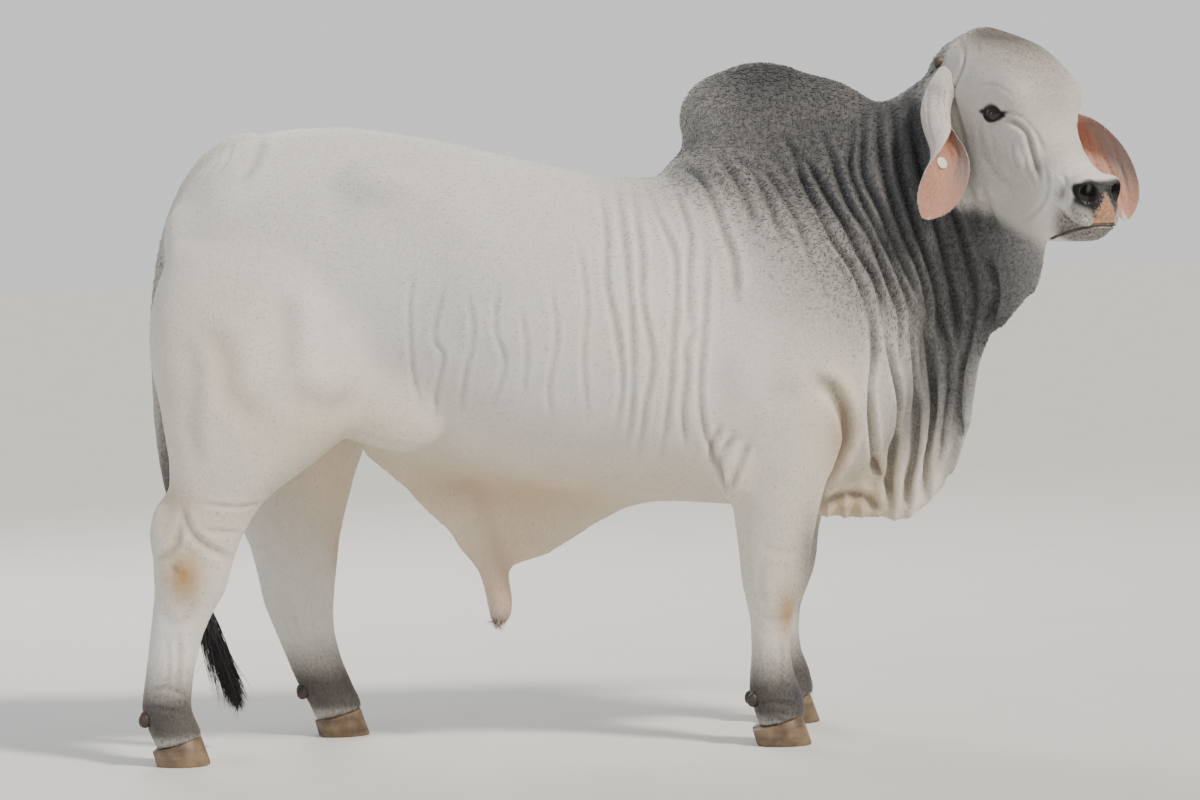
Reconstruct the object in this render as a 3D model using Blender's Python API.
"""A grey Brahman bull, standing with the head turned to its right, as a life-size museum model.

The bull is blocked in from lofts and balls, fused into one body, relaxed, folded, thinned and parted.
It faces +X, its left is +Y, up is +Z, and its soles stand on Z = 0. All sizes are in metres.
"""

import math

import bmesh
import bpy
import numpy as np
from mathutils import Matrix, Vector
from mathutils.bvhtree import BVHTree

# Driving dimensions
HIP_HEIGHT = 1.48
GAP = 0.0003
CELL = 0.010
FACES = {"head": 1700, "legs": 1500, "neck": 1500, "trunk": 1600}
ALL_FACES = 5800
SIDES = {"right": -1, "left": 1}

# The trunk: x, lowest z, highest z, half width, z where it is widest
TRUNK = [
    (-1.02, 1.02, 1.27, 0.100, 1.15),
    (-0.93, 0.88, 1.395, 0.205, 1.13),
    (-0.82, 0.80, 1.455, 0.250, 1.12),
    (-0.64, 0.74, HIP_HEIGHT, 0.275, 1.13),
    (-0.42, 0.70, 1.452, 0.300, 1.06),
    (-0.20, 0.615, 1.400, 0.335, 0.99),
    (0.00, 0.582, 1.353, 0.345, 0.96),
    (0.20, 0.562, 1.338, 0.330, 0.94),
    (0.38, 0.555, 1.350, 0.300, 0.94),
    (0.55, 0.590, 1.340, 0.255, 0.96),
    (0.68, 0.680, 1.300, 0.190, 0.98),
    (0.76, 0.800, 1.200, 0.100, 1.00),
]

# The neck: centre x, y, z, then the half depth and half width of its slice, and its rise in degrees
NECK = [
    (0.46, 0.000, 1.08, 0.33, 0.225, 38),
    (0.62, -0.004, 1.20, 0.295, 0.185, 42),
    (0.74, -0.015, 1.30, 0.262, 0.150, 46),
    (0.852, -0.040, 1.382, 0.202, 0.130, 50),
    (0.925, -0.070, 1.468, 0.168, 0.118, 53),
]

# The hump: centre x, z, half length, half width, half height, and lean in degrees
HUMP = [
    (0.405, 1.440, 0.198, 0.122, 0.172, 8),
    (0.310, 1.475, 0.112, 0.100, 0.112, 14),
    (0.540, 1.420, 0.190, 0.120, 0.150, 24),
    (0.300, 1.345, 0.140, 0.150, 0.070, 0),
]

# The legs: z, centre x, centre distance from the midline, half length and half width of the slice
HIND_LEG = [
    (1.20, -0.770, 0.150, 0.240, 0.110),
    (1.05, -0.780, 0.180, 0.268, 0.128),
    (0.92, -0.778, 0.195, 0.272, 0.130),
    (0.80, -0.800, 0.205, 0.238, 0.118),
    (0.70, -0.848, 0.212, 0.176, 0.098),
    (0.62, -0.905, 0.214, 0.120, 0.080),
    (0.55, -0.945, 0.212, 0.106, 0.066),
    (0.48, -0.968, 0.210, 0.098, 0.060),
    (0.41, -0.977, 0.208, 0.088, 0.056),
    (0.33, -1.005, 0.205, 0.070, 0.047),
    (0.25, -1.024, 0.205, 0.062, 0.044),
    (0.18, -1.036, 0.205, 0.060, 0.047),
    (0.125, -1.040, 0.205, 0.061, 0.055),
    (0.080, -1.022, 0.205, 0.060, 0.055),
    (0.020, -1.005, 0.205, 0.054, 0.050),
]
HIND_LEG_LEFT = [
    (1.20, -0.760, 0.150, 0.240, 0.110),
    (1.05, -0.755, 0.180, 0.262, 0.128),
    (0.92, -0.740, 0.195, 0.262, 0.130),
    (0.80, -0.733, 0.205, 0.235, 0.118),
    (0.70, -0.733, 0.210, 0.176, 0.098),
    (0.62, -0.720, 0.212, 0.134, 0.080),
    (0.55, -0.728, 0.212, 0.122, 0.066),
    (0.48, -0.738, 0.210, 0.114, 0.061),
    (0.41, -0.734, 0.208, 0.102, 0.057),
    (0.33, -0.732, 0.206, 0.090, 0.050),
    (0.25, -0.716, 0.205, 0.075, 0.046),
    (0.18, -0.694, 0.205, 0.070, 0.047),
    (0.125, -0.672, 0.205, 0.070, 0.055),
    (0.080, -0.650, 0.205, 0.064, 0.055),
    (0.020, -0.635, 0.205, 0.056, 0.050),
]
FORE_LEG = [
    (1.10, 0.400, 0.185, 0.170, 0.090),
    (0.96, 0.415, 0.200, 0.176, 0.098),
    (0.82, 0.424, 0.206, 0.158, 0.098),
    (0.69, 0.408, 0.202, 0.134, 0.088),
    (0.56, 0.396, 0.194, 0.106, 0.074),
    (0.46, 0.391, 0.188, 0.089, 0.065),
    (0.38, 0.389, 0.185, 0.080, 0.065),
    (0.33, 0.384, 0.184, 0.064, 0.057),
    (0.28, 0.379, 0.184, 0.052, 0.046),
    (0.22, 0.377, 0.184, 0.050, 0.044),
    (0.17, 0.378, 0.184, 0.056, 0.048),
    (0.125, 0.386, 0.184, 0.066, 0.057),
    (0.080, 0.396, 0.184, 0.062, 0.056),
    (0.020, 0.408, 0.184, 0.055, 0.050),
]
LEFT_FORE_LEAD = 0.065
# How far the left hind leg's hock stands ahead of the right one's
LEFT_HOCK_LEAD = 0.217

# Balls of muscle and bone on both sides: name, centre, half sizes, lean in degrees, then the shares
# of the left fore leg's and of the left hock's lead that the left one takes
MUSCLES = [
    ("shoulder", (0.440, 0.185, 1.030), (0.190, 0.105, 0.260), -14, 0, 0),
    ("shoulder_point", (0.545, 0.185, 0.860), (0.100, 0.070, 0.120), 0, 0, 0),
    ("elbow", (0.315, 0.215, 0.660), (0.070, 0.060, 0.100), 0, 0.5, 0),
    ("hook", (-0.520, 0.205, 1.335), (0.110, 0.060, 0.060), 0, 0, 0),
    ("pin", (-0.955, 0.105, 1.225), (0.070, 0.060, 0.085), 0, 0, 0),
    ("buttock", (-0.940, 0.145, 0.980), (0.125, 0.105, 0.240), 0, 0, 0),
    ("hock", (-1.030, 0.208, 0.555), (0.042, 0.036, 0.085), 8, 0, 0.93),
    ("knee", (0.410, 0.186, 0.385), (0.058, 0.062, 0.062), 0, 1, 0),
    ("flank", (-0.520, 0.205, 0.830), (0.170, 0.060, 0.110), 24, 0, 0),
]
SCROTUM = [((-0.895, 0, 0.640), (0.062, 0.072, 0.125)), ((-0.890, 0, 0.770), (0.050, 0.048, 0.110))]

# The head lies in its own frame: along the nose, to its left, and out of the forehead
POLL = Vector((0.928, -0.050, 1.632))
HEAD_TURN = math.radians(61)
HEAD_DROP = math.radians(31.7)
# The skull: place along the nose, lowest and highest point, half width, level of the widest point
SKULL = [
    (-0.070, -0.200, -0.020, 0.085, -0.080),
    (-0.020, -0.270, 0.036, 0.118, -0.085),
    (0.060, -0.300, 0.070, 0.132, -0.075),
    (0.150, -0.315, 0.088, 0.136, -0.055),
    (0.225, -0.318, 0.082, 0.128, -0.060),
    (0.285, -0.312, 0.042, 0.106, -0.085),
    (0.340, -0.302, -0.012, 0.088, -0.120),
    (0.410, -0.285, -0.040, 0.078, -0.130),
    (0.470, -0.258, -0.047, 0.070, -0.130),
    (0.520, -0.226, -0.046, 0.063, -0.132),
    (0.556, -0.205, -0.062, 0.055, -0.130),
    (0.588, -0.178, -0.104, 0.040, -0.142),
]
# Balls on the head: name, centre, half sizes; those off the midline come in pairs
HEAD_BALLS = [
    ("forehead", (0.170, 0.0, -0.010), (0.130, 0.116, 0.098)),
    ("poll", (0.005, 0.0, 0.002), (0.050, 0.072, 0.052)),
    ("brow", (0.218, 0.078, -0.006), (0.078, 0.045, 0.062)),
    ("cheek", (0.190, 0.086, -0.190), (0.130, 0.054, 0.100)),
    ("cheekbone", (0.300, 0.076, -0.115), (0.120, 0.026, 0.034)),
    ("nostril", (0.522, 0.042, -0.080), (0.040, 0.030, 0.040)),
    ("lip", (0.536, 0.034, -0.134), (0.054, 0.036, 0.036)),
    ("chin", (0.520, 0.0, -0.176), (0.062, 0.046, 0.034)),
]

# The eye: its centre on the head, its radius, the way it looks, and the lid opening's half sizes
EYE = Vector((0.232, 0.104, -0.047))
EYE_RADIUS = 0.024
GAZE = Vector((0.30, 0.95, 0.04)).normalized()
LID_THICKNESS = 0.0055
LID_OPENING = (0.026, 0.0165)
LID_SLANT = math.radians(20)
# The nostril's and the mouth's places on the head
NOSTRIL = Vector((0.552, 0.046, -0.073))
NOSTRIL_SIZE = (0.036, 0.0215, 0.0200)
MOUTH = [(0.478, 0.072, -0.210), (0.515, 0.064, -0.193), (0.552, 0.048, -0.172), (0.580, 0.024, -0.153),
         (0.590, 0.000, -0.147)]
MOUTH_DEPTH = 0.022
MOUTH_WIDTH = 0.0028

# Where each ear leaves the head, in the head's frame
EAR_ROOT = Vector((0.035, 0.105, -0.052))
# The ear's middle line in the level head frame: share of its length, then out, ahead and up from its root
EAR_LINE = {
    "right": [
        (0.00, 0.000, 0.000, 0.000), (0.22, 0.065, 0.035, -0.063), (0.38, 0.095, 0.064, -0.111),
        (0.51, 0.098, 0.085, -0.158), (0.64, 0.095, 0.098, -0.209), (0.76, 0.105, 0.098, -0.253),
        (0.88, 0.122, 0.089, -0.297), (1.00, 0.140, 0.077, -0.341),
    ],
    "left": [
        (0.00, 0.000, 0.000, 0.000), (0.20, 0.075, 0.006, -0.073), (0.36, 0.132, 0.003, -0.124),
        (0.50, 0.186, 0.005, -0.161), (0.66, 0.237, 0.022, -0.213), (0.84, 0.270, 0.045, -0.284),
        (1.00, 0.279, 0.062, -0.359),
    ],
}
# The way the hollow side faces: share of the length, then ahead and out
EAR_FACE = {
    "right": [
        (0.00, 0.35, -0.94), (0.36, 0.50, -0.87), (0.50, 0.80, -0.60), (0.62, 0.98, 0.00), (1.00, 0.92, 0.30),
    ],
    "left": [(0.00, 0.70, -0.60), (0.30, 0.90, -0.40), (1.00, 0.95, -0.30)],
}
# Along the ear: share of its length, half width, half angle of the curl in degrees
EAR_LEAF = {
    "right": [
        (0.00, 0.072, 163), (0.12, 0.090, 166), (0.25, 0.098, 168), (0.36, 0.096, 168), (0.45, 0.090, 158),
        (0.54, 0.082, 118), (0.64, 0.075, 80), (0.76, 0.067, 52), (0.88, 0.052, 36), (0.96, 0.031, 24),
        (1.00, 0.010, 15),
    ],
    "left": [
        (0.00, 0.072, 163), (0.12, 0.090, 163), (0.25, 0.096, 150), (0.36, 0.092, 120), (0.48, 0.084, 92),
        (0.62, 0.075, 70), (0.76, 0.064, 50), (0.88, 0.050, 36), (0.96, 0.031, 24), (1.00, 0.010, 15),
    ],
}
EAR_ROWS = 15
EAR_POINTS = 11
EAR_THICKNESS = (0.0050, 0.0024)
TAG_RADIUS = 0.0135
TAG_THICKNESS = 0.005
TAG_PLACE = (9, 5)

# The stub of each horn in the head's frame
HORN = Vector((0.006, 0.098, -0.038))
HORN_OUT = Vector((-0.20, 0.85, -0.12)).normalized()
HORN_RADIUS = (0.020, 0.015)
HORN_LENGTH = 0.052

# The dewlap's hanging outline: x, lowest z. It is a pleated curtain
DEWLAP_EDGE = [
    (0.30, 0.565), (0.42, 0.535), (0.55, 0.508), (0.66, 0.502), (0.73, 0.495), (0.785, 0.535),
    (0.835, 0.590), (0.865, 0.660), (0.890, 0.740), (0.908, 0.850), (0.930, 0.925), (0.975, 0.985),
    (1.015, 1.030), (1.038, 1.090), (1.045, 1.140),
]
DEWLAP_TOP = [(0.30, 0.66), (0.55, 0.78), (0.75, 1.02), (0.90, 1.18), (1.00, 1.25), (1.045, 1.26)]
DEWLAP_THICKNESS = (0.052, 0.016)
# Where the dewlap starts to bend to the turned head, over what length, and how far
DEWLAP_BEND = (0.79, 0.255, -0.20)
# Where the dewlap's own piece parts from the neck: x, z
DEWLAP_ROOT = [
    (0.54, 0.55), (0.66, 0.62), (0.74, 0.745), (0.80, 0.86), (0.86, 0.97), (0.92, 1.06), (0.98, 1.13),
    (1.10, 1.165),
]
# The fan of folds on the neck: z, then the x of its rear and of its front line
FOLD_FAN = [
    (0.50, 0.560, 0.840), (0.70, 0.560, 0.885), (0.85, 0.535, 0.905), (1.00, 0.475, 0.925),
    (1.20, 0.345, 0.905), (1.36, 0.230, 0.870), (1.60, 0.120, 0.820),
]
FOLDS = 7
FOLD_DEPTH = 0.0075
PLEAT_SWING = 0.018
PLEAT_LOBES = 0.011

# The sheath's hanging outline: x, lowest z
SHEATH_EDGE = [
    (-0.570, 0.690), (-0.480, 0.612), (-0.390, 0.515), (-0.320, 0.425), (-0.270, 0.400),
    (-0.190, 0.420), (-0.116, 0.446), (-0.010, 0.512), (0.114, 0.560), (0.280, 0.556),
]
SHEATH_TOP = [(-0.57, 0.80), (0.28, 0.66)]
SHEATH_THICKNESS = (0.045, 0.017)
# The free end of the sheath: x, y, z, radius
SHEATH_TIP = [
    (-0.330, 0, 0.620, 0.055), (-0.295, 0, 0.500, 0.046), (-0.262, 0, 0.400, 0.036),
    (-0.250, 0, 0.330, 0.034), (-0.250, 0, 0.285, 0.027),
]
# Where the sheath's own piece parts from the belly: x, z
SHEATH_ROOT = [
    (-0.64, 0.700), (-0.50, 0.690), (-0.42, 0.674), (-0.30, 0.628), (-0.20, 0.598), (-0.10, 0.577),
    (0.00, 0.564), (0.12, 0.550), (0.24, 0.540),
]

# The tail: x, y, z, radius
TAIL = [
    (-0.800, 0.000, 1.425, 0.052), (-0.875, 0.000, 1.412, 0.043), (-0.945, 0.000, 1.345, 0.036),
    (-0.998, 0.002, 1.240, 0.031), (-1.030, 0.004, 1.110, 0.027), (-1.044, 0.006, 0.960, 0.024),
    (-1.044, 0.006, 0.810, 0.021), (-1.034, 0.004, 0.680, 0.019), (-1.012, 0.002, 0.560, 0.017),
    (-0.990, 0.000, 0.450, 0.015), (-0.974, 0.000, 0.390, 0.013),
]
TAIL_PARTINGS = (0.86, 0.42)
# The switch's core and its locks, which start on the core and end at the tips
SWITCH_CORE = [
    (-0.980, 0, 0.4188, 0.016), (-0.966, 0, 0.36, 0.021), (-0.950, 0, 0.30, 0.018), (-0.936, 0, 0.25, 0.008),
]
SWITCH_TIP = Vector((-0.872, 0.0, 0.085))
LOCKS = 11
LOCK_WIDTH = 0.011

# Each foot: the middle of the sole, and the way its toes turn out in degrees
FEET = {
    "fore_right": (0.405, -0.184, 6),
    "fore_left": (0.470, 0.184, 6),
    "hind_right": (-1.003, -0.205, 10),
    "hind_left": (-0.628, 0.205, 10),
}
# The claw's length, breadth, coronet height at the toe and at the heel, and the lean of its front wall
CLAW = {"fore": (0.130, 0.060, 0.074, 0.040), "hind": (0.122, 0.054, 0.070, 0.038)}
CLAW_LEAN = 0.30
CLAW_SPACE = 0.004
# The claw's slices, how much smaller its sole is, its taper upwards, and how its toe curves inwards
CLAW_LEVELS = (0.0, 0.004, 0.03, 0.06, 0.10)
SOLE_SIZE = 0.965
CLAW_TAPER = 0.6
CLAW_TOE_IN = 0.010
# The shares of a claw's breadth on its outer side and on the side of the other claw
CLAW_SHARES = (0.80, 0.20)
DEWCLAW = (0.016, 0.013, 0.020)
DEWCLAW_OUT = 0.023
FOOT_LIFT = 0.115

# Where the head parts from the neck, in the head's frame: down behind the jaw, then ahead under it
HEAD_BACK = [(-0.150, 0.20), (-0.095, 0.02), (0.000, -0.20), (0.115, -0.335)]
HEAD_UNDER = [(0.115, -0.335), (0.270, -0.345), (0.420, -0.315), (0.600, -0.235)]
# Where the body parts into its named pieces
NECK_PART = ((0.640, 1.00), (0.995, 0.0, -0.10))
HUMP_PART = ((0.430, 1.415), (-0.17, 0.0, 0.985))
BARREL_PARTS = (-0.400, 0.185)
FORELEG_PARTS = (0.540, 0.320)
HINDLEG_PARTS = (0.640, 0.370)


def spread(stations, places, column):
    """A smooth curve through one column of a station table, read at the given places."""
    table = np.array(stations, float)
    x, y = table[:, 0], table[:, column]
    if x[0] > x[-1]:
        x, y = x[::-1], y[::-1]
    slope = np.gradient(y, x)
    i = np.clip(np.searchsorted(x, places) - 1, 0, len(x) - 2)
    step = x[i + 1] - x[i]
    t = np.clip((places - x[i]) / step, 0, 1)
    rise = (y[i + 1] - y[i]) / step
    # Limited slopes keep the curve from swinging past its stations
    start = np.clip(slope[i], -3 * abs(rise), 3 * abs(rise))
    end = np.clip(slope[i + 1], -3 * abs(rise), 3 * abs(rise))
    return (
        (2 * t**3 - 3 * t**2 + 1) * y[i]
        + (t**3 - 2 * t**2 + t) * step * start
        + (3 * t**2 - 2 * t**3) * y[i + 1]
        + (t**3 - t**2) * step * end
    )


def skin_of_rings(rings):
    """Points and faces of a closed tube through rings of equal length, with a fan at each end."""
    rings = np.asarray(rings, float)
    count, sides = rings.shape[:2]
    points = np.concatenate([rings.reshape(-1, 3), rings[:1].mean(1), rings[-1:].mean(1)])
    faces = []
    for i in range(count - 1):
        for j in range(sides):
            k = (j + 1) % sides
            faces.append((i * sides + j, i * sides + k, (i + 1) * sides + k, (i + 1) * sides + j))
    first, last = count * sides, count * sides + 1
    for j in range(sides):
        k = (j + 1) % sides
        faces.append((first, k, j))
        faces.append((last, (count - 1) * sides + j, (count - 1) * sides + k))
    return points, faces


def object_of(work, name):
    """A new object in the scene from a bmesh, which is freed."""
    mesh = bpy.data.meshes.new(name)
    work.to_mesh(mesh)
    work.free()
    obj = bpy.data.objects.new(name, mesh)
    bpy.context.scene.collection.objects.link(obj)
    return obj


def mesh_object(name, points, faces):
    """An object with a closed mesh whose faces point out."""
    work = bmesh.new()
    points_made = [work.verts.new(p) for p in points]
    for face in faces:
        work.faces.new([points_made[i] for i in face])
    bmesh.ops.remove_doubles(work, verts=work.verts, dist=1e-6)
    bmesh.ops.recalc_face_normals(work, faces=work.faces)
    return object_of(work, name)


def slice_loft(name, stations, steps=48, sides=40):
    """A loft of upright slices along X: each has a lowest and highest point and a widest level."""
    table = np.array(stations, float)
    places = np.linspace(table[0, 0], table[-1, 0], steps)
    low, high, wide, level = (spread(stations, places, c) for c in (1, 2, 3, 4))
    turn = np.linspace(0, 2 * math.pi, sides, endpoint=False)
    rings = []
    for x, lo, hi, w, mid in zip(places, low, high, wide, level):
        across = np.sign(np.cos(turn)) * abs(np.cos(turn)) ** 0.86
        rise = np.where(np.sin(turn) > 0, hi - mid, mid - lo) * np.sin(turn)
        rings.append(np.stack([np.full(sides, x), w * across, mid + rise], axis=1))
    return mesh_object(name, *skin_of_rings(rings))


def leg_loft(name, stations, side, lead=0.0, steps=60, sides=24):
    """A leg: level slices from the body to the hoof, each an oval."""
    table = np.array(stations, float)
    heights = np.linspace(table[0, 0], table[-1, 0], steps)
    x, y, long, wide = (spread(stations, heights, c) for c in (1, 2, 3, 4))
    turn = np.linspace(0, 2 * math.pi, sides, endpoint=False)
    lower = np.clip((0.9 - heights) / 0.3, 0, 1)
    rings = [
        np.stack(
            [
                a + lead * s + b * np.cos(turn),
                side * c + d * np.sin(turn),
                np.full(sides, z),
            ],
            axis=1,
        )
        for z, a, c, b, d, s in zip(heights, x, y, long, wide, lower)
    ]
    return mesh_object(name, *skin_of_rings(rings))


def ball(name, centre, half_sizes, matrix=Matrix(), lean=0.0, sides=32):
    """A ball stretched to its half sizes and leaned about Y, placed in a frame."""
    work = bmesh.new()
    shape = Matrix.Translation(centre) @ Matrix.Rotation(math.radians(lean), 4, "Y")
    shape = matrix @ shape @ Matrix.Diagonal((*half_sizes, 1))
    bmesh.ops.create_uvsphere(work, u_segments=sides, v_segments=sides * 5 // 8, radius=1, matrix=shape)
    return object_of(work, name)


def path_tube(name, stations, sides=16, steps=40, flat=1.0):
    """A round tube along x, y, z, radius stations."""
    table = np.array(stations, float)
    along = np.concatenate([[0], np.cumsum(np.linalg.norm(np.diff(table[:, :3], axis=0), axis=1))])
    keyed = np.column_stack([along, table])
    places = np.linspace(0, along[-1], steps)
    points = np.stack([spread(keyed, places, c) for c in (1, 2, 3)], axis=1)
    radii = spread(keyed, places, 4)
    ahead = np.gradient(points, axis=0)
    ahead /= np.linalg.norm(ahead, axis=1)[:, None]
    side = np.cross(ahead, (0, 0, 1))
    side[np.linalg.norm(side, axis=1) < 0.2] = (0, 1, 0)
    side *= np.where(side[:, 1:2] < 0, -1, 1)
    side /= np.linalg.norm(side, axis=1)[:, None]
    other = np.cross(side, ahead)
    turn = np.linspace(0, 2 * math.pi, sides, endpoint=False)
    rings = [
        p + r * (np.cos(turn)[:, None] * flat * s + np.sin(turn)[:, None] * o)
        for p, r, s, o in zip(points, radii, side, other)
    ]
    return mesh_object(name, *skin_of_rings(rings))


def neck_loft():
    """The neck: leaning oval slices that rise and turn to the head."""
    table = np.array(NECK, float)
    places = np.linspace(table[0, 0], table[-1, 0], 24)
    columns = [spread(NECK, places, c) for c in (1, 2, 3, 4, 5)]
    turn = np.linspace(0, 2 * math.pi, 36, endpoint=False)
    rings = []
    for x, y, z, deep, wide, rise in zip(places, *columns):
        tilt = math.radians(rise)
        back = np.array((-math.sin(tilt), 0, math.cos(tilt)))
        centre = np.array((x, y, z))
        rings.append(
            centre
            + np.sin(turn)[:, None] * deep * back
            + np.cos(turn)[:, None] * wide * np.array((0, 1, 0))
        )
    return mesh_object("neck_block", *skin_of_rings(rings))


def fold_phase(x, z):
    """Which fold of the fan a place lies on, counted from the rear line."""
    rear = spread(FOLD_FAN, z, 1)
    front = spread(FOLD_FAN, z, 2)
    return FOLDS * (x - rear) / (front - rear)


def throat_bend(x):
    """How far the curtain's middle leaves the midline where it follows the turned head."""
    start, reach, sideways = DEWLAP_BEND
    return sideways * np.clip((x - start) / reach, 0, 1) ** 1.4


def curtain(name, edge, top, half_thickness, swing=0.0, lobes=0.0, columns=150, rows=30):
    """A hanging sheet of skin: thick at its root, thin and pleated at its free edge."""
    x = np.linspace(edge[0][0], edge[-1][0], columns)
    low = spread(edge, x, 1)
    high = spread(top, x, 1)
    down = np.linspace(0, 1, rows)
    rim = np.sqrt(np.clip(1 - down**6, 0, 1))
    thick = (half_thickness[0] + (half_thickness[1] - half_thickness[0]) * down) * rim
    near, far = [], []
    for place, lowest, highest in zip(x, low, high):
        phase = 2 * math.pi * fold_phase(place, lowest)
        z = highest + (lowest - lobes * (0.5 - 0.5 * math.cos(phase)) - highest) * down
        wave = np.cos(2 * math.pi * fold_phase(place, z))
        middle = throat_bend(place) + swing * wave * np.clip((down - 0.15) / 0.6, 0, 1)
        near.append(np.stack([np.full(rows, place), middle - thick, z], axis=1))
        far.append(np.stack([np.full(rows, place), middle + thick, z], axis=1)[::-1])
    rings = np.concatenate([np.array(near), np.array(far)], axis=1)
    return mesh_object(name, *skin_of_rings(rings))


def head_frame():
    """The head's own frame: X along the nose, Y to its left, Z out of the forehead."""
    turn = Matrix.Rotation(-HEAD_TURN, 4, "Z") @ Matrix.Rotation(HEAD_DROP, 4, "Y")
    return Matrix.Translation(POLL) @ turn


def head_blocks():
    frame = head_frame()
    skull = slice_loft("skull", SKULL, steps=36, sides=32)
    skull.data.transform(frame)
    blocks = [skull]
    for name, (x, y, z), half_sizes in HEAD_BALLS:
        for side in (1, -1) if y else (1,):
            blocks.append(ball(f"{name}_{side}", (x, side * y, z), half_sizes, frame))
    return blocks


def body_blocks():
    """Every block of flesh but the ears and the tail, which are made on their own."""
    blocks = [slice_loft("trunk", TRUNK), neck_loft()]
    for i, (x, z, long, wide, high, lean) in enumerate(HUMP):
        blocks.append(ball(f"hump_{i}", (x, 0, z), (long, wide, high), lean=lean))
    for name, side in SIDES.items():
        hind = HIND_LEG if name == "right" else HIND_LEG_LEFT
        fore_lead, hock_lead = (0.0, 0.0) if name == "right" else (LEFT_FORE_LEAD, LEFT_HOCK_LEAD)
        blocks.append(leg_loft(f"hind_{name}", hind, side))
        blocks.append(leg_loft(f"fore_{name}", FORE_LEG, side, fore_lead))
        for muscle, (x, y, z), half_sizes, lean, fore_share, hock_share in MUSCLES:
            ahead = fore_share * fore_lead + hock_share * hock_lead
            blocks.append(ball(f"{muscle}_{name}", (x + ahead, side * y, z), half_sizes, lean=lean))
    pleats = (PLEAT_SWING, PLEAT_LOBES)
    blocks.append(curtain("dewlap_block", DEWLAP_EDGE, DEWLAP_TOP, DEWLAP_THICKNESS, *pleats))
    blocks.append(curtain("sheath_block", SHEATH_EDGE, SHEATH_TOP, SHEATH_THICKNESS))
    blocks.append(path_tube("sheath_tip", SHEATH_TIP))
    for i, (centre, half_sizes) in enumerate(SCROTUM):
        blocks.append(ball(f"scrotum_{i}", centre, half_sizes))
    return blocks + head_blocks()


def joined(name, objects):
    """One object that holds the meshes of several; the several are removed."""
    work = bmesh.new()
    for obj in objects:
        obj.data.transform(obj.matrix_world)
        work.from_mesh(obj.data)
    for obj in objects:
        bpy.data.objects.remove(obj)
    return object_of(work, name)


def settled(obj):
    """Applies an object's modifiers."""
    bpy.context.view_layer.update()
    graph = bpy.context.evaluated_depsgraph_get()
    mesh = bpy.data.meshes.new_from_object(obj.evaluated_get(graph))
    obj.modifiers.clear()
    obj.data = mesh
    return obj


def fused(obj, cell):
    """The blocks as one closed surface."""
    remesh = obj.modifiers.new("fuse", "REMESH")
    remesh.mode = "VOXEL"
    remesh.voxel_size = cell
    return settled(obj)


def corners(mesh):
    co = np.empty(len(mesh.vertices) * 3, np.float32)
    mesh.vertices.foreach_get("co", co)
    return co.reshape(-1, 3).astype(float)


def edge_ends(mesh):
    ends = np.empty(len(mesh.edges) * 2, np.int32)
    mesh.edges.foreach_get("vertices", ends)
    return ends.reshape(-1, 2)


def relax(obj, weight_of, rounds):
    """Moves each point towards the middle of its neighbours, by a weight that depends on its place."""
    co, ends = corners(obj.data), edge_ends(obj.data)
    degree = np.bincount(ends.ravel(), minlength=len(co)).clip(1)
    weight = weight_of(co)[:, None] * 0.5
    for _ in range(rounds):
        total = np.stack(
            [
                np.bincount(ends[:, 0], co[ends[:, 1], k], len(co))
                + np.bincount(ends[:, 1], co[ends[:, 0], k], len(co))
                for k in range(3)
            ],
            axis=1,
        )
        co += weight * (total / degree[:, None] - co)
    obj.data.vertices.foreach_set("co", co.astype(np.float32).ravel())
    obj.data.update()


def in_head(co):
    """The places in the head's own frame."""
    back = np.array(head_frame().inverted())
    return co @ back[:3, :3].T + back[:3, 3]


def inside_head(co):
    """How far a place lies inside the head's part, in metres."""
    u, v, w = in_head(co).T
    back, under = np.array(HEAD_BACK[::-1]), np.array(HEAD_UNDER)
    behind = u - np.interp(w, back[:, 1], back[:, 0])
    below = w - np.interp(u, under[:, 0], under[:, 1])
    return np.minimum(np.minimum(behind, below), 0.19 - abs(v))


def softness(co):
    """How much a place is relaxed: fully on the trunk, less on the legs, least on the face and curtains."""
    leg = np.clip((co[:, 2] - 0.45) / 0.35, 0.12, 1)
    edge = spread(DEWLAP_EDGE, co[:, 0], 1)
    hanging = (co[:, 0] > 0.50) & (co[:, 2] < edge + 0.30) & (abs(co[:, 1]) < 0.16)
    sheath = (co[:, 0] > -0.55) & (co[:, 0] < 0.25) & (co[:, 2] < 0.60)
    weight = np.minimum(leg, 1 - 0.86 * np.clip(inside_head(co) / 0.06, 0, 1))
    weight[hanging] = np.minimum(weight[hanging], 0.12)
    weight[sheath] = np.minimum(weight[sheath], 0.15)
    return weight


def fold_neck(obj):
    """Presses the fan of folds into the sides of the neck."""
    mesh = obj.data
    co = corners(mesh)
    normals = np.empty(len(co) * 3, np.float32)
    mesh.vertices.foreach_get("normal", normals)
    normals = normals.reshape(-1, 3)
    phase = fold_phase(co[:, 0], co[:, 2])
    ridge = abs(np.sin(math.pi * phase)) ** 0.7 - 0.6
    fan = np.clip(phase / 1.5, 0, 1) * np.clip((FOLDS + 1.2 - phase) / 1.5, 0, 1)
    tall = np.clip((1.46 - co[:, 2]) / 0.10, 0, 1) * np.clip((co[:, 2] - 0.62) / 0.2, 0, 1)
    clear = np.clip(-inside_head(co) / 0.05, 0, 1)
    side = np.clip(abs(normals[:, 1]) * 1.6, 0, 1)
    co += normals * (FOLD_DEPTH * ridge * fan * tall * clear * side)[:, None]
    mesh.vertices.foreach_set("co", co.astype(np.float32).ravel())
    mesh.update()


def triangulated(obj):
    """Cuts an object's faces to triangles, so that a copy of it has the same ones."""
    work = bmesh.new()
    work.from_mesh(obj.data)
    bmesh.ops.triangulate(work, faces=work.faces)
    work.to_mesh(obj.data)
    work.free()
    return obj


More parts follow.
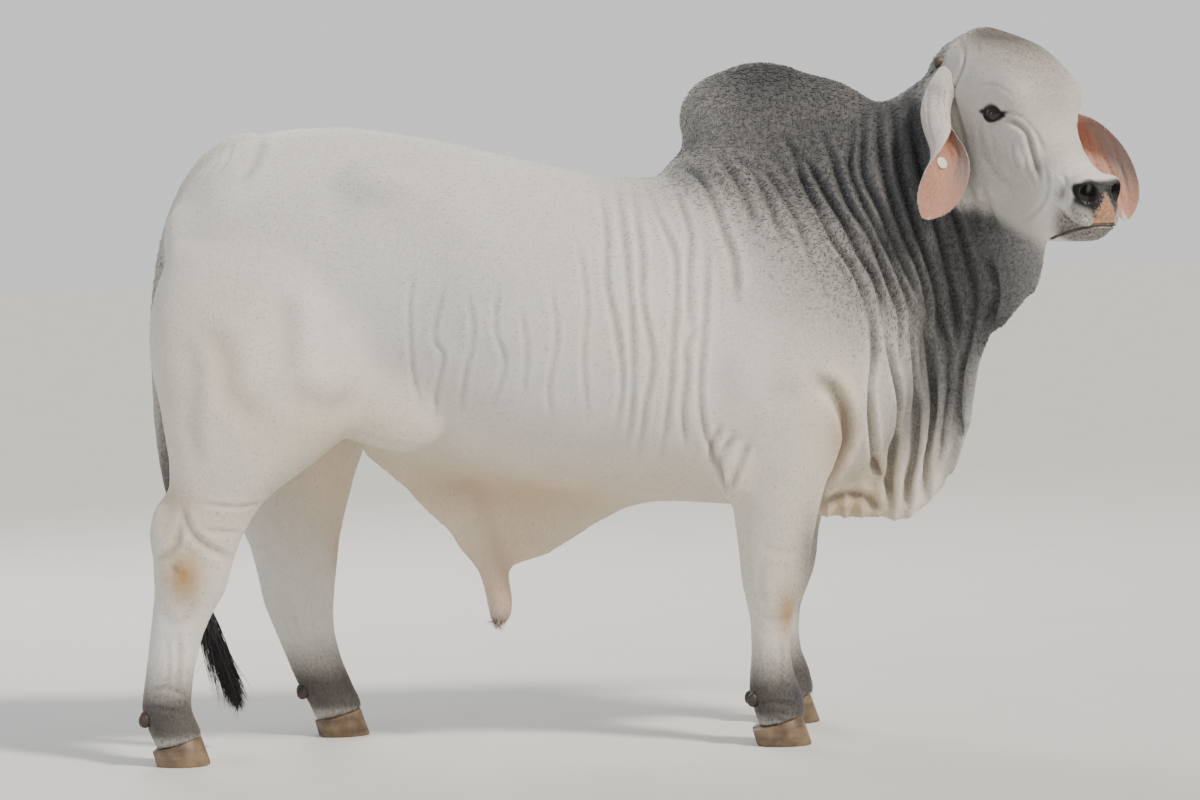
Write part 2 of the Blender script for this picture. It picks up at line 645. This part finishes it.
def thinned(obj):
    """The same surface with fewer triangles, a set count for each region."""
    triangulated(obj)
    for region, faces in FACES.items():
        inside = region_of(corners(obj.data)) == list(FACES).index(region)
        corner = np.empty(len(obj.data.polygons) * 3, np.int32)
        obj.data.polygons.foreach_get("vertices", corner)
        there = inside[corner.reshape(-1, 3)].all(1)
        group = obj.vertex_groups.new(name="thin")
        group.add(np.flatnonzero(inside).tolist(), 1.0, "REPLACE")
        decimate = obj.modifiers.new("thin", "DECIMATE")
        decimate.ratio = 1 - (there.sum() - faces) / len(there)
        decimate.vertex_group = "thin"
        decimate.vertex_group_factor = 1.0
        settled(obj)
        obj.vertex_groups.clear()
    decimate = obj.modifiers.new("thin", "DECIMATE")
    decimate.ratio = ALL_FACES / len(obj.data.polygons)
    return settled(obj)


def region_of(co):
    """Which region of the body a place belongs to: 0 head, 1 legs, 2 neck, 3 trunk."""
    region = np.full(len(co), 3)
    region[co[:, 0] > 0.58] = 2
    region[(co[:, 2] < 0.68) & (abs(co[:, 1]) > 0.09)] = 1
    region[inside_head(co) > 0] = 0
    return region


def open_edges(obj):
    work = bmesh.new()
    work.from_mesh(obj.data)
    count = sum(not edge.is_manifold for edge in work.edges)
    work.free()
    return count


def boolean(obj, other, operation="DIFFERENCE", keep=True):
    """Cuts or joins another object, which is then removed, and keeps the largest closed surface."""
    before = obj.data.copy()
    for solver in ("EXACT", "MANIFOLD"):
        modifier = obj.modifiers.new("cut", "BOOLEAN")
        modifier.operation = operation
        modifier.object = other
        modifier.solver = solver
        settled(obj)
        if obj.data.polygons and not open_edges(obj):
            break
        if solver == "EXACT":
            obj.data = before
    bpy.data.objects.remove(other)
    return largest(obj) if keep else obj


def loose_parts(obj):
    """The vertex indices of each connected part with its volume, largest first."""
    work = bmesh.new()
    work.from_mesh(obj.data)
    work.verts.ensure_lookup_table()
    seen = np.zeros(len(work.verts), bool)
    parts = []
    for seed in work.verts:
        if seen[seed.index]:
            continue
        seen[seed.index] = True
        stack, members = [seed], []
        while stack:
            vertex = stack.pop()
            members.append(vertex.index)
            for edge in vertex.link_edges:
                other = edge.other_vert(vertex)
                if not seen[other.index]:
                    seen[other.index] = True
                    stack.append(other)
        parts.append(np.array(members))
    label = np.zeros(len(work.verts), int)
    for i, members in enumerate(parts):
        label[members] = i
    volume = np.zeros(len(parts))
    for face in work.faces:
        a = face.verts[0]
        for b, c in zip(face.verts[1:], face.verts[2:]):
            volume[label[a.index]] += a.co.dot(b.co.cross(c.co)) / 6
    work.free()
    return sorted(zip(volume, parts), key=lambda item: -item[0])


def only(obj, members):
    """The object with only these vertices and their faces."""
    work = bmesh.new()
    work.from_mesh(obj.data)
    keep = set(members.tolist())
    bmesh.ops.delete(work, geom=[v for v in work.verts if v.index not in keep], context="VERTS")
    work.to_mesh(obj.data)
    work.free()
    return obj


def largest(obj):
    parts = loose_parts(obj)
    return only(obj, parts[0][1]) if len(parts) > 1 else obj


def parted(obj, cutter, places):
    """Cuts an object in pieces and gives each piece the name of the place nearest to its middle."""
    boolean(obj, cutter, keep=False)
    co = corners(obj.data)
    parts = [(co[members].mean(0), members) for _, members in loose_parts(obj)]
    if len(parts) < len(places):
        raise RuntimeError(f"{list(places)} did not part")
    pieces = {}
    for name, place in places.items():
        near = min(parts[: len(places)], key=lambda part: np.linalg.norm(part[0] - place))
        piece = bpy.data.objects.new(name, obj.data.copy())
        bpy.context.scene.collection.objects.link(piece)
        pieces[name] = only(piece, near[1])
    bpy.data.objects.remove(obj)
    return pieces


def slab(middle, normal, across=0.5, along=0.6, side=0.0):
    """A thin flat cutter through a place; its normal lies in the XZ plane."""
    work = bmesh.new()
    lean = Vector((normal[0], 0, normal[2])).normalized()
    turn = Matrix((lean, (0, 1, 0), Vector(lean).cross((0, 1, 0)))).transposed().to_4x4()
    size = Matrix.Diagonal((GAP, 2 * across, 2 * along, 1))
    place = Matrix.Translation((middle[0], side, middle[1]))
    bmesh.ops.create_cube(work, size=1, matrix=place @ turn @ size)
    return object_of(work, "slab")


def ribbon(points, low, high):
    """A thin bent cutter along x, z points, between two places across."""
    points = np.array(points, float)
    ahead = np.gradient(points, axis=0)
    out = np.stack([-ahead[:, 1], ahead[:, 0]], axis=1)
    out *= GAP / 2 / np.linalg.norm(out, axis=1)[:, None]
    rings = [
        [(p[0] + o[0], low, p[1] + o[1]), (p[0] + o[0], high, p[1] + o[1]),
         (p[0] - o[0], high, p[1] - o[1]), (p[0] - o[0], low, p[1] - o[1])]
        for p, o in zip(points, out)
    ]
    return mesh_object("ribbon", *skin_of_rings(rings))


def swollen(obj, by=GAP):
    """A copy whose surface lies this much farther out."""
    mesh = triangulated(obj).data.copy()
    co = corners(mesh)
    normals = np.empty(len(co) * 3, np.float32)
    mesh.vertices.foreach_get("normal", normals)
    mesh.vertices.foreach_set("co", (co.ravel() + by * normals).astype(np.float32))
    mesh.update()
    copy = bpy.data.objects.new(obj.name + "_swollen", mesh)
    bpy.context.scene.collection.objects.link(copy)
    return copy


def eye_frame(side):
    """The eye's frame: Z along its gaze, X along the lid opening."""
    gaze = Vector((GAZE.x, side * GAZE.y, GAZE.z))
    along = Vector((math.cos(LID_SLANT), 0, math.sin(LID_SLANT)))
    along = (along - along.dot(gaze) * gaze).normalized()
    turn = Matrix((along, gaze.cross(along), gaze)).transposed().to_4x4()
    return head_frame() @ Matrix.Translation((EYE.x, side * EYE.y, EYE.z)) @ turn


def set_eye(head, side, name):
    """Lids around a socket in the head, and the eyeball in it."""
    frame = eye_frame(side)
    lid = EYE_RADIUS + LID_THICKNESS
    boolean(head, ball("lids", (0, 0, 0), (lid * 1.12, lid * 0.98, lid), frame, sides=16), "UNION")
    opening = ball("opening", (0, 0, EYE_RADIUS), (*LID_OPENING, EYE_RADIUS * 1.2), frame, sides=16)
    boolean(head, opening)
    boolean(head, ball("socket", (0, 0, 0), (EYE_RADIUS + GAP,) * 3, frame, sides=16))
    return ball(name, (0, 0, 0), (EYE_RADIUS,) * 3, frame, sides=16)


def mouth_cutter():
    """A thin bent slot that follows the lips from one corner round to the other."""
    line = [Vector(p) for p in MOUTH]
    line += [Vector((p.x, -p.y, p.z)) for p in line[-2::-1]]
    rings = []
    for i, p in enumerate(line):
        ahead = (line[min(i + 1, len(line) - 1)] - line[max(i - 1, 0)]).normalized()
        out = ahead.cross((0, 0, -1)).normalized()
        up = Vector((0, 0, MOUTH_WIDTH / 2))
        depth = MOUTH_DEPTH * (0.75 if i in (0, len(line) - 1) else 1)
        front, back = p + out * depth, p - out * depth
        rings.append([front + up, front - up, back - up * 0.3, back + up * 0.3])
    obj = mesh_object("mouth_slot", *skin_of_rings(rings))
    obj.data.transform(head_frame())
    return obj


def ear(name, side):
    """A hanging ear: a curled leaf that is a tube at its root and opens downward."""
    level = Matrix.Rotation(-HEAD_TURN, 4, "Z").to_3x3()
    root = head_frame() @ Vector((EAR_ROOT.x, side * EAR_ROOT.y, EAR_ROOT.z))
    share = np.linspace(0, 1, EAR_ROWS)
    out, forward, rise = (spread(EAR_LINE[name], share, c) for c in (1, 2, 3))
    middle = [root + level @ Vector((f, side * o, r)) for o, f, r in zip(out, forward, rise)]
    face_ahead, face_out = (spread(EAR_FACE[name], share, c) for c in (1, 2))
    halves, curls = (spread(EAR_LEAF[name], share, c) for c in (1, 2))
    outer, inner = [], []
    for i, t in enumerate(share):
        along = (middle[min(i + 1, EAR_ROWS - 1)] - middle[max(i - 1, 0)]).normalized()
        face = level @ Vector((face_ahead[i], side * face_out[i], 0))
        face = (face - face.dot(along) * along).normalized()
        broad = along.cross(face).normalized()
        curl = math.radians(curls[i])
        radius = halves[i] / curl
        centre = middle[i] - face * radius * (1 - math.sin(curl) / curl)
        thick = EAR_THICKNESS[0] + (EAR_THICKNESS[1] - EAR_THICKNESS[0]) * t
        for rows, shift in ((outer, thick), (inner, -thick)):
            row = []
            for place in np.linspace(-1, 1, EAR_POINTS):
                turn = curl * place
                r = radius + shift * (1 - 0.6 * abs(place) ** 3)
                row.append(centre + broad * r * math.sin(turn) + face * (radius - r * math.cos(turn)))
            rows.append(row)
    rings = [[tuple(p) for p in a + b[::-1]] for a, b in zip(outer, inner)]
    return mesh_object("ear_" + name, *skin_of_rings(rings)), inner


def tag(inner, ear_object):
    """A round button on the inner side of the ear."""
    row, place = TAG_PLACE
    spot = inner[row][place]
    along = (inner[row + 1][place] - inner[row - 1][place]).normalized()
    across = (inner[row][place + 1] - inner[row][place - 1]).normalized()
    out = along.cross(across).normalized()
    profile = ((-0.6, 1.0), (0.7, 1.0), (1.0, 0.85))
    around = np.linspace(0, 2 * math.pi, 20, endpoint=False)
    rings = [
        [
            spot + out * TAG_THICKNESS * lift + TAG_RADIUS * swell * (along * c + across * s)
            for c, s in zip(np.cos(around), np.sin(around))
        ]
        for lift, swell in profile
    ]
    obj = mesh_object("ear_tag", *skin_of_rings([[tuple(p) for p in ring] for ring in rings]))
    return boolean(obj, swollen(ear_object))


def horn(name, side):
    """The short blunt stub of a horn."""
    rings = []
    out = Vector((HORN_OUT.x, side * HORN_OUT.y, HORN_OUT.z))
    along = out.cross((1, 0, 0)).normalized()
    other = out.cross(along)
    profile = [(-0.03, 1.0), (0.45, 1.0), (0.85, 0.92), (0.97, 0.78), (1.0, 0.5)]
    for t, swell in profile:
        radius = (HORN_RADIUS[0] + (HORN_RADIUS[1] - HORN_RADIUS[0]) * max(t, 0)) * swell
        centre = Vector((HORN.x, side * HORN.y, HORN.z)) + out * (HORN_LENGTH * t - 0.02)
        rings.append([
            centre + radius * (math.cos(a) * along + math.sin(a) * other)
            for a in np.linspace(0, 2 * math.pi, 16, endpoint=False)
        ])
    obj = mesh_object("horn_" + name, *skin_of_rings(rings))
    obj.data.transform(head_frame())
    return obj


def under_coronet(foot, lift):
    """The cutter for what lies under (lift 0) or over (lift 1) a foot's sloping coronet."""
    x, y, _ = FEET[foot]
    length, _, toe, heel = CLAW[foot.split("_")[0]]
    long, wide, high = 0.4, 0.2, 0.3
    slope = Matrix.Rotation(-math.atan2(toe - heel, length), 4, "Y")
    place = Matrix.Translation((x, y, (toe + heel) / 2)) @ slope
    shift = Matrix.Translation((0, 0, high / 2 - GAP if lift else -high / 2))
    work = bmesh.new()
    bmesh.ops.create_cube(work, size=1, matrix=place @ shift @ Matrix.Diagonal((long, wide, high, 1)))
    return object_of(work, "coronet")


def claws(foot):
    """The two claws of a foot, flat under the sole, their walls leaning back."""
    x, y, turn = FEET[foot]
    side = 1 if y > 0 else -1
    length, breadth, _, _ = CLAW[foot.split("_")[0]]
    made = []
    for which, out in (("outer", side), ("inner", -side)):
        rings = []
        for z in CLAW_LEVELS:
            size = SOLE_SIZE if z == 0 else 1 - CLAW_TAPER * (z - CLAW_LEVELS[1])
            ring = []
            for a in np.linspace(0, 2 * math.pi, 22, endpoint=False):
                ahead = size * length / 2 * math.cos(a)
                broad = size * breadth * CLAW_SHARES[0 if math.sin(a) > 0 else 1]
                across = broad * abs(math.sin(a)) ** 0.7 * math.copysign(1, math.sin(a))
                across += breadth * CLAW_SHARES[1] + CLAW_SPACE / 2
                across -= CLAW_TOE_IN * max(2 * ahead / length, 0) ** 2
                ring.append((ahead - z * CLAW_LEAN, out * max(across, CLAW_SPACE / 2), z))
            rings.append(ring)
        obj = mesh_object(f"claw_{foot}_{which}", *skin_of_rings(rings))
        obj.data.transform(Matrix.Translation((x, y, 0)) @ Matrix.Rotation(math.radians(turn * side), 4, "Z"))
        boolean(obj, under_coronet(foot, 1))
        made.append(obj)
    return made


def rear_of(obj, y, z):
    """The rearmost x of an object at a place across and up."""
    work = bmesh.new()
    work.from_mesh(obj.data)
    hit = BVHTree.FromBMesh(work).ray_cast(Vector((-3, y, z)), Vector((1, 0, 0)))[0]
    work.free()
    return hit.x


def dewclaws(foot, leg):
    """The two small horny points behind the fetlock."""
    y = FEET[foot][1]
    made = []
    for which, out in (("outer", math.copysign(1, y)), ("inner", -math.copysign(1, y))):
        across = y + out * DEWCLAW_OUT
        centre = (rear_of(leg, across, FOOT_LIFT) + 0.002, across, FOOT_LIFT - 0.004)
        obj = ball(f"dewclaw_{foot}_{which}", centre, DEWCLAW, lean=24, sides=12)
        boolean(obj, swollen(leg))
        made.append(obj)
    return made


def lock(name, start, end, bow, width):
    """A flat tapered lock of hair from its root to its tip."""
    rings = []
    start, end, bow = Vector(start), Vector(end), Vector(bow)
    steps = 5
    for i in range(steps):
        t = i / (steps - 1)
        centre = start.lerp(end, t) + bow * math.sin(math.pi * t)
        ahead = (end - start + bow * math.pi * math.cos(math.pi * t)).normalized()
        broad = ahead.cross((0.3, 1, 0)).normalized()
        flat = ahead.cross(broad)
        w = width * (0.75 + 0.6 * t - 1.28 * t**2)
        rings.append([
            centre + w * (math.cos(a) * broad + 0.42 * math.sin(a) * flat)
            for a in np.linspace(0, 2 * math.pi, 6, endpoint=False)
        ])
    return mesh_object(name, *skin_of_rings(rings))


def switch():
    """The dark switch: a core with tapered locks around it."""
    dice = np.random.default_rng(3)
    core = path_tube("tail_switch", SWITCH_CORE, sides=10, steps=8)
    along = np.linspace(0, 1, len(SWITCH_CORE))
    for i in range(LOCKS):
        around = 2 * math.pi * (i + 0.5) / LOCKS
        level = (0.15, 0.55)[i % 2]
        spot = [np.interp(level, along, [p[k] for p in SWITCH_CORE]) for k in range(4)]
        out = Vector((math.cos(around), math.sin(around), 0))
        start = Vector(spot[:3]) + out * spot[3] * 0.40
        end = SWITCH_TIP + out * (0.026, 0.016)[i % 2] + Vector((-0.35, 0, 1)) * dice.uniform(0, 0.07)
        boolean(core, lock("lock", start, end, out * 0.014, LOCK_WIDTH), "UNION")
    return core


COLOURS = {
    "eye": (0.012, 0.008, 0.006), "claw": (0.16, 0.11, 0.075), "dewclaw": (0.09, 0.06, 0.045),
    "horn": (0.20, 0.13, 0.08), "tail_switch": (0.02, 0.018, 0.017), "ear_tag": (0.85, 0.85, 0.83),
    "hump": (0.11, 0.11, 0.12), "neck": (0.20, 0.20, 0.21), "ear": (0.55, 0.42, 0.36),
    "dewlap": (0.40, 0.39, 0.38), "tail": (0.35, 0.34, 0.34), "head": (0.55, 0.53, 0.51),
    "sheath": (0.60, 0.50, 0.44), "scrotum": (0.50, 0.42, 0.38), "": (0.66, 0.63, 0.60),
}
WET, DRY = 0.08, 0.7
SHARP_EDGE = math.radians(50)


def finish(pieces):
    """Materials, smooth shading, one shared origin under the middle of the bull."""
    box = np.concatenate([corners(obj.data) for obj in pieces])
    middle = (box.min(0) + box.max(0)) / 2
    for obj in pieces:
        obj.data.name = obj.name
        obj.data.transform(Matrix.Translation((-middle[0], -middle[1], 0)))
        material = bpy.data.materials.new(obj.name)
        material.use_nodes = True
        start = next(key for key in COLOURS if obj.name.startswith(key))
        shader = material.node_tree.nodes["Principled BSDF"]
        shader.inputs["Base Color"].default_value = (*COLOURS[start], 1)
        shader.inputs["Roughness"].default_value = WET if start == "eye" else DRY
        obj.data.materials.clear()
        obj.data.materials.append(material)
        obj.data.polygons.foreach_set("use_smooth", [True] * len(obj.data.polygons))
        obj.data.set_sharp_from_angle(angle=SHARP_EDGE)
    triangles = sum(len(face.vertices) - 2 for obj in pieces for face in obj.data.polygons)
    print(len(pieces), "pieces,", triangles, "triangles, moved by", -middle[0], -middle[1])


def clear_scene():
    for obj in list(bpy.data.objects):
        bpy.data.objects.remove(obj)


def main():
    clear_scene()
    flesh = joined("flesh", body_blocks())
    fused(flesh, CELL)
    relax(flesh, softness, 14)
    fold_neck(flesh)
    thinned(flesh)
    flesh = largest(flesh)

    parts = {}
    parts |= parted(flesh, ribbon(SHEATH_ROOT, -0.08, 0.08), {"body": (0, 0, 1), "sheath": (-0.25, 0, 0.5)})
    parts |= parted(parts.pop("body"), slab((-0.893, 0.70), (0, 0, 1), across=0.092, along=0.13),
                    {"body": (0, 0, 1), "scrotum": (-0.893, 0, 0.6)})
    parts |= parted(parts.pop("body"), slab(*NECK_PART, across=0.5, along=0.75),
                    {"trunk": (-0.2, 0, 1), "front": (0.9, 0, 1.3)})
    parts |= parted(parts.pop("front"), ribbon(DEWLAP_ROOT, -0.42, 0.40),
                    {"front": (0.9, 0, 1.4), "dewlap": (0.9, -0.1, 0.9)})
    cutter = ribbon(HEAD_BACK + HEAD_UNDER[1:], -0.32, 0.32)
    cutter.data.transform(head_frame())
    parts |= parted(parts.pop("front"), cutter, {"neck": (0.75, 0, 1.3), "head": (1.0, -0.2, 1.4)})
    parts |= parted(parts.pop("trunk"), slab(*HUMP_PART, across=0.5, along=0.45),
                    {"trunk": (-0.2, 0, 1), "hump": (0.43, 0, 1.5)})
    parts |= parted(parts.pop("trunk"), slab((BARREL_PARTS[0], 1), (1, 0, 0)),
                    {"rump": (-0.8, 0, 1.0), "trunk": (0.1, 0, 1)})
    parts |= parted(parts.pop("trunk"), slab((BARREL_PARTS[1], 1), (1, 0, 0)),
                    {"barrel": (-0.1, 0, 1.0), "chest": (0.4, 0, 0.9)})
    for end, source, heights in (("fore", "chest", FORELEG_PARTS), ("hind", "rump", HINDLEG_PARTS)):
        for name, side in SIDES.items():
            x, y, _ = FEET[f"{end}_{name}"]
            across = 0.09 if end == "fore" else 0.13
            leg = f"{end}leg_{name}"
            cut = slab((x, heights[0]), (0, 0, 1), across=across, along=0.30, side=side * (0.105 + across))
            parts |= parted(parts.pop(source), cut, {source: (x, 0, 1.0), leg: (x, y, 0.3)})
            cut = slab((x, heights[1]), (0, 0, 1), across=0.2, along=0.3, side=side * 0.2)
            parts |= parted(parts.pop(leg), cut, {leg + "_upper": (x, y, 0.5), leg + "_lower": (x, y, 0.2)})
            boolean(parts[leg + "_lower"], under_coronet(f"{end}_{name}", 0))
            for piece in claws(f"{end}_{name}") + dewclaws(f"{end}_{name}", parts[leg + "_lower"]):
                parts[piece.name] = piece

    head = parts["head"]
    for name, side in SIDES.items():
        parts["eye_" + name] = set_eye(head, side, "eye_" + name)
        spot = Vector((NOSTRIL.x, side * NOSTRIL.y, NOSTRIL.z))
        turn = Matrix.Translation(spot) @ Matrix.Rotation(side * math.radians(28), 4, "Z")
        boolean(head, ball("nostril", (0, 0, 0), NOSTRIL_SIZE, head_frame() @ turn, sides=16))
    boolean(head, mouth_cutter())
    for name, side in SIDES.items():
        stub = horn(name, side)
        leaf, inner = ear(name, side)
        for body in (head, parts["neck"]):
            boolean(stub, swollen(body))
            boolean(leaf, swollen(body))
        parts["horn_" + name] = stub
        parts["ear_" + name] = boolean(leaf, swollen(stub))
        if name == "right":
            parts["ear_tag"] = tag(inner, leaf)

    tail = boolean(path_tube("tail", TAIL, sides=10, steps=20), swollen(parts["rump"]))
    cut = slab((-1.0, TAIL_PARTINGS[0]), (0, 0, 1), along=0.3)
    parts |= parted(tail, cut, {"tail_upper": (-1.0, 0, 1.2), "tail_lower": (-1.0, 0, 0.6)})
    cut = slab((-0.98, TAIL_PARTINGS[1]), (0, 0, 1), along=0.3)
    parts |= parted(parts.pop("tail_lower"), cut, {"tail_lower": (-1.0, 0, 0.6)})
    parts["tail_switch"] = boolean(switch(), swollen(parts["tail_lower"]))
    for name, obj in parts.items():
        obj.name = name
    finish(list(parts.values()))


main()
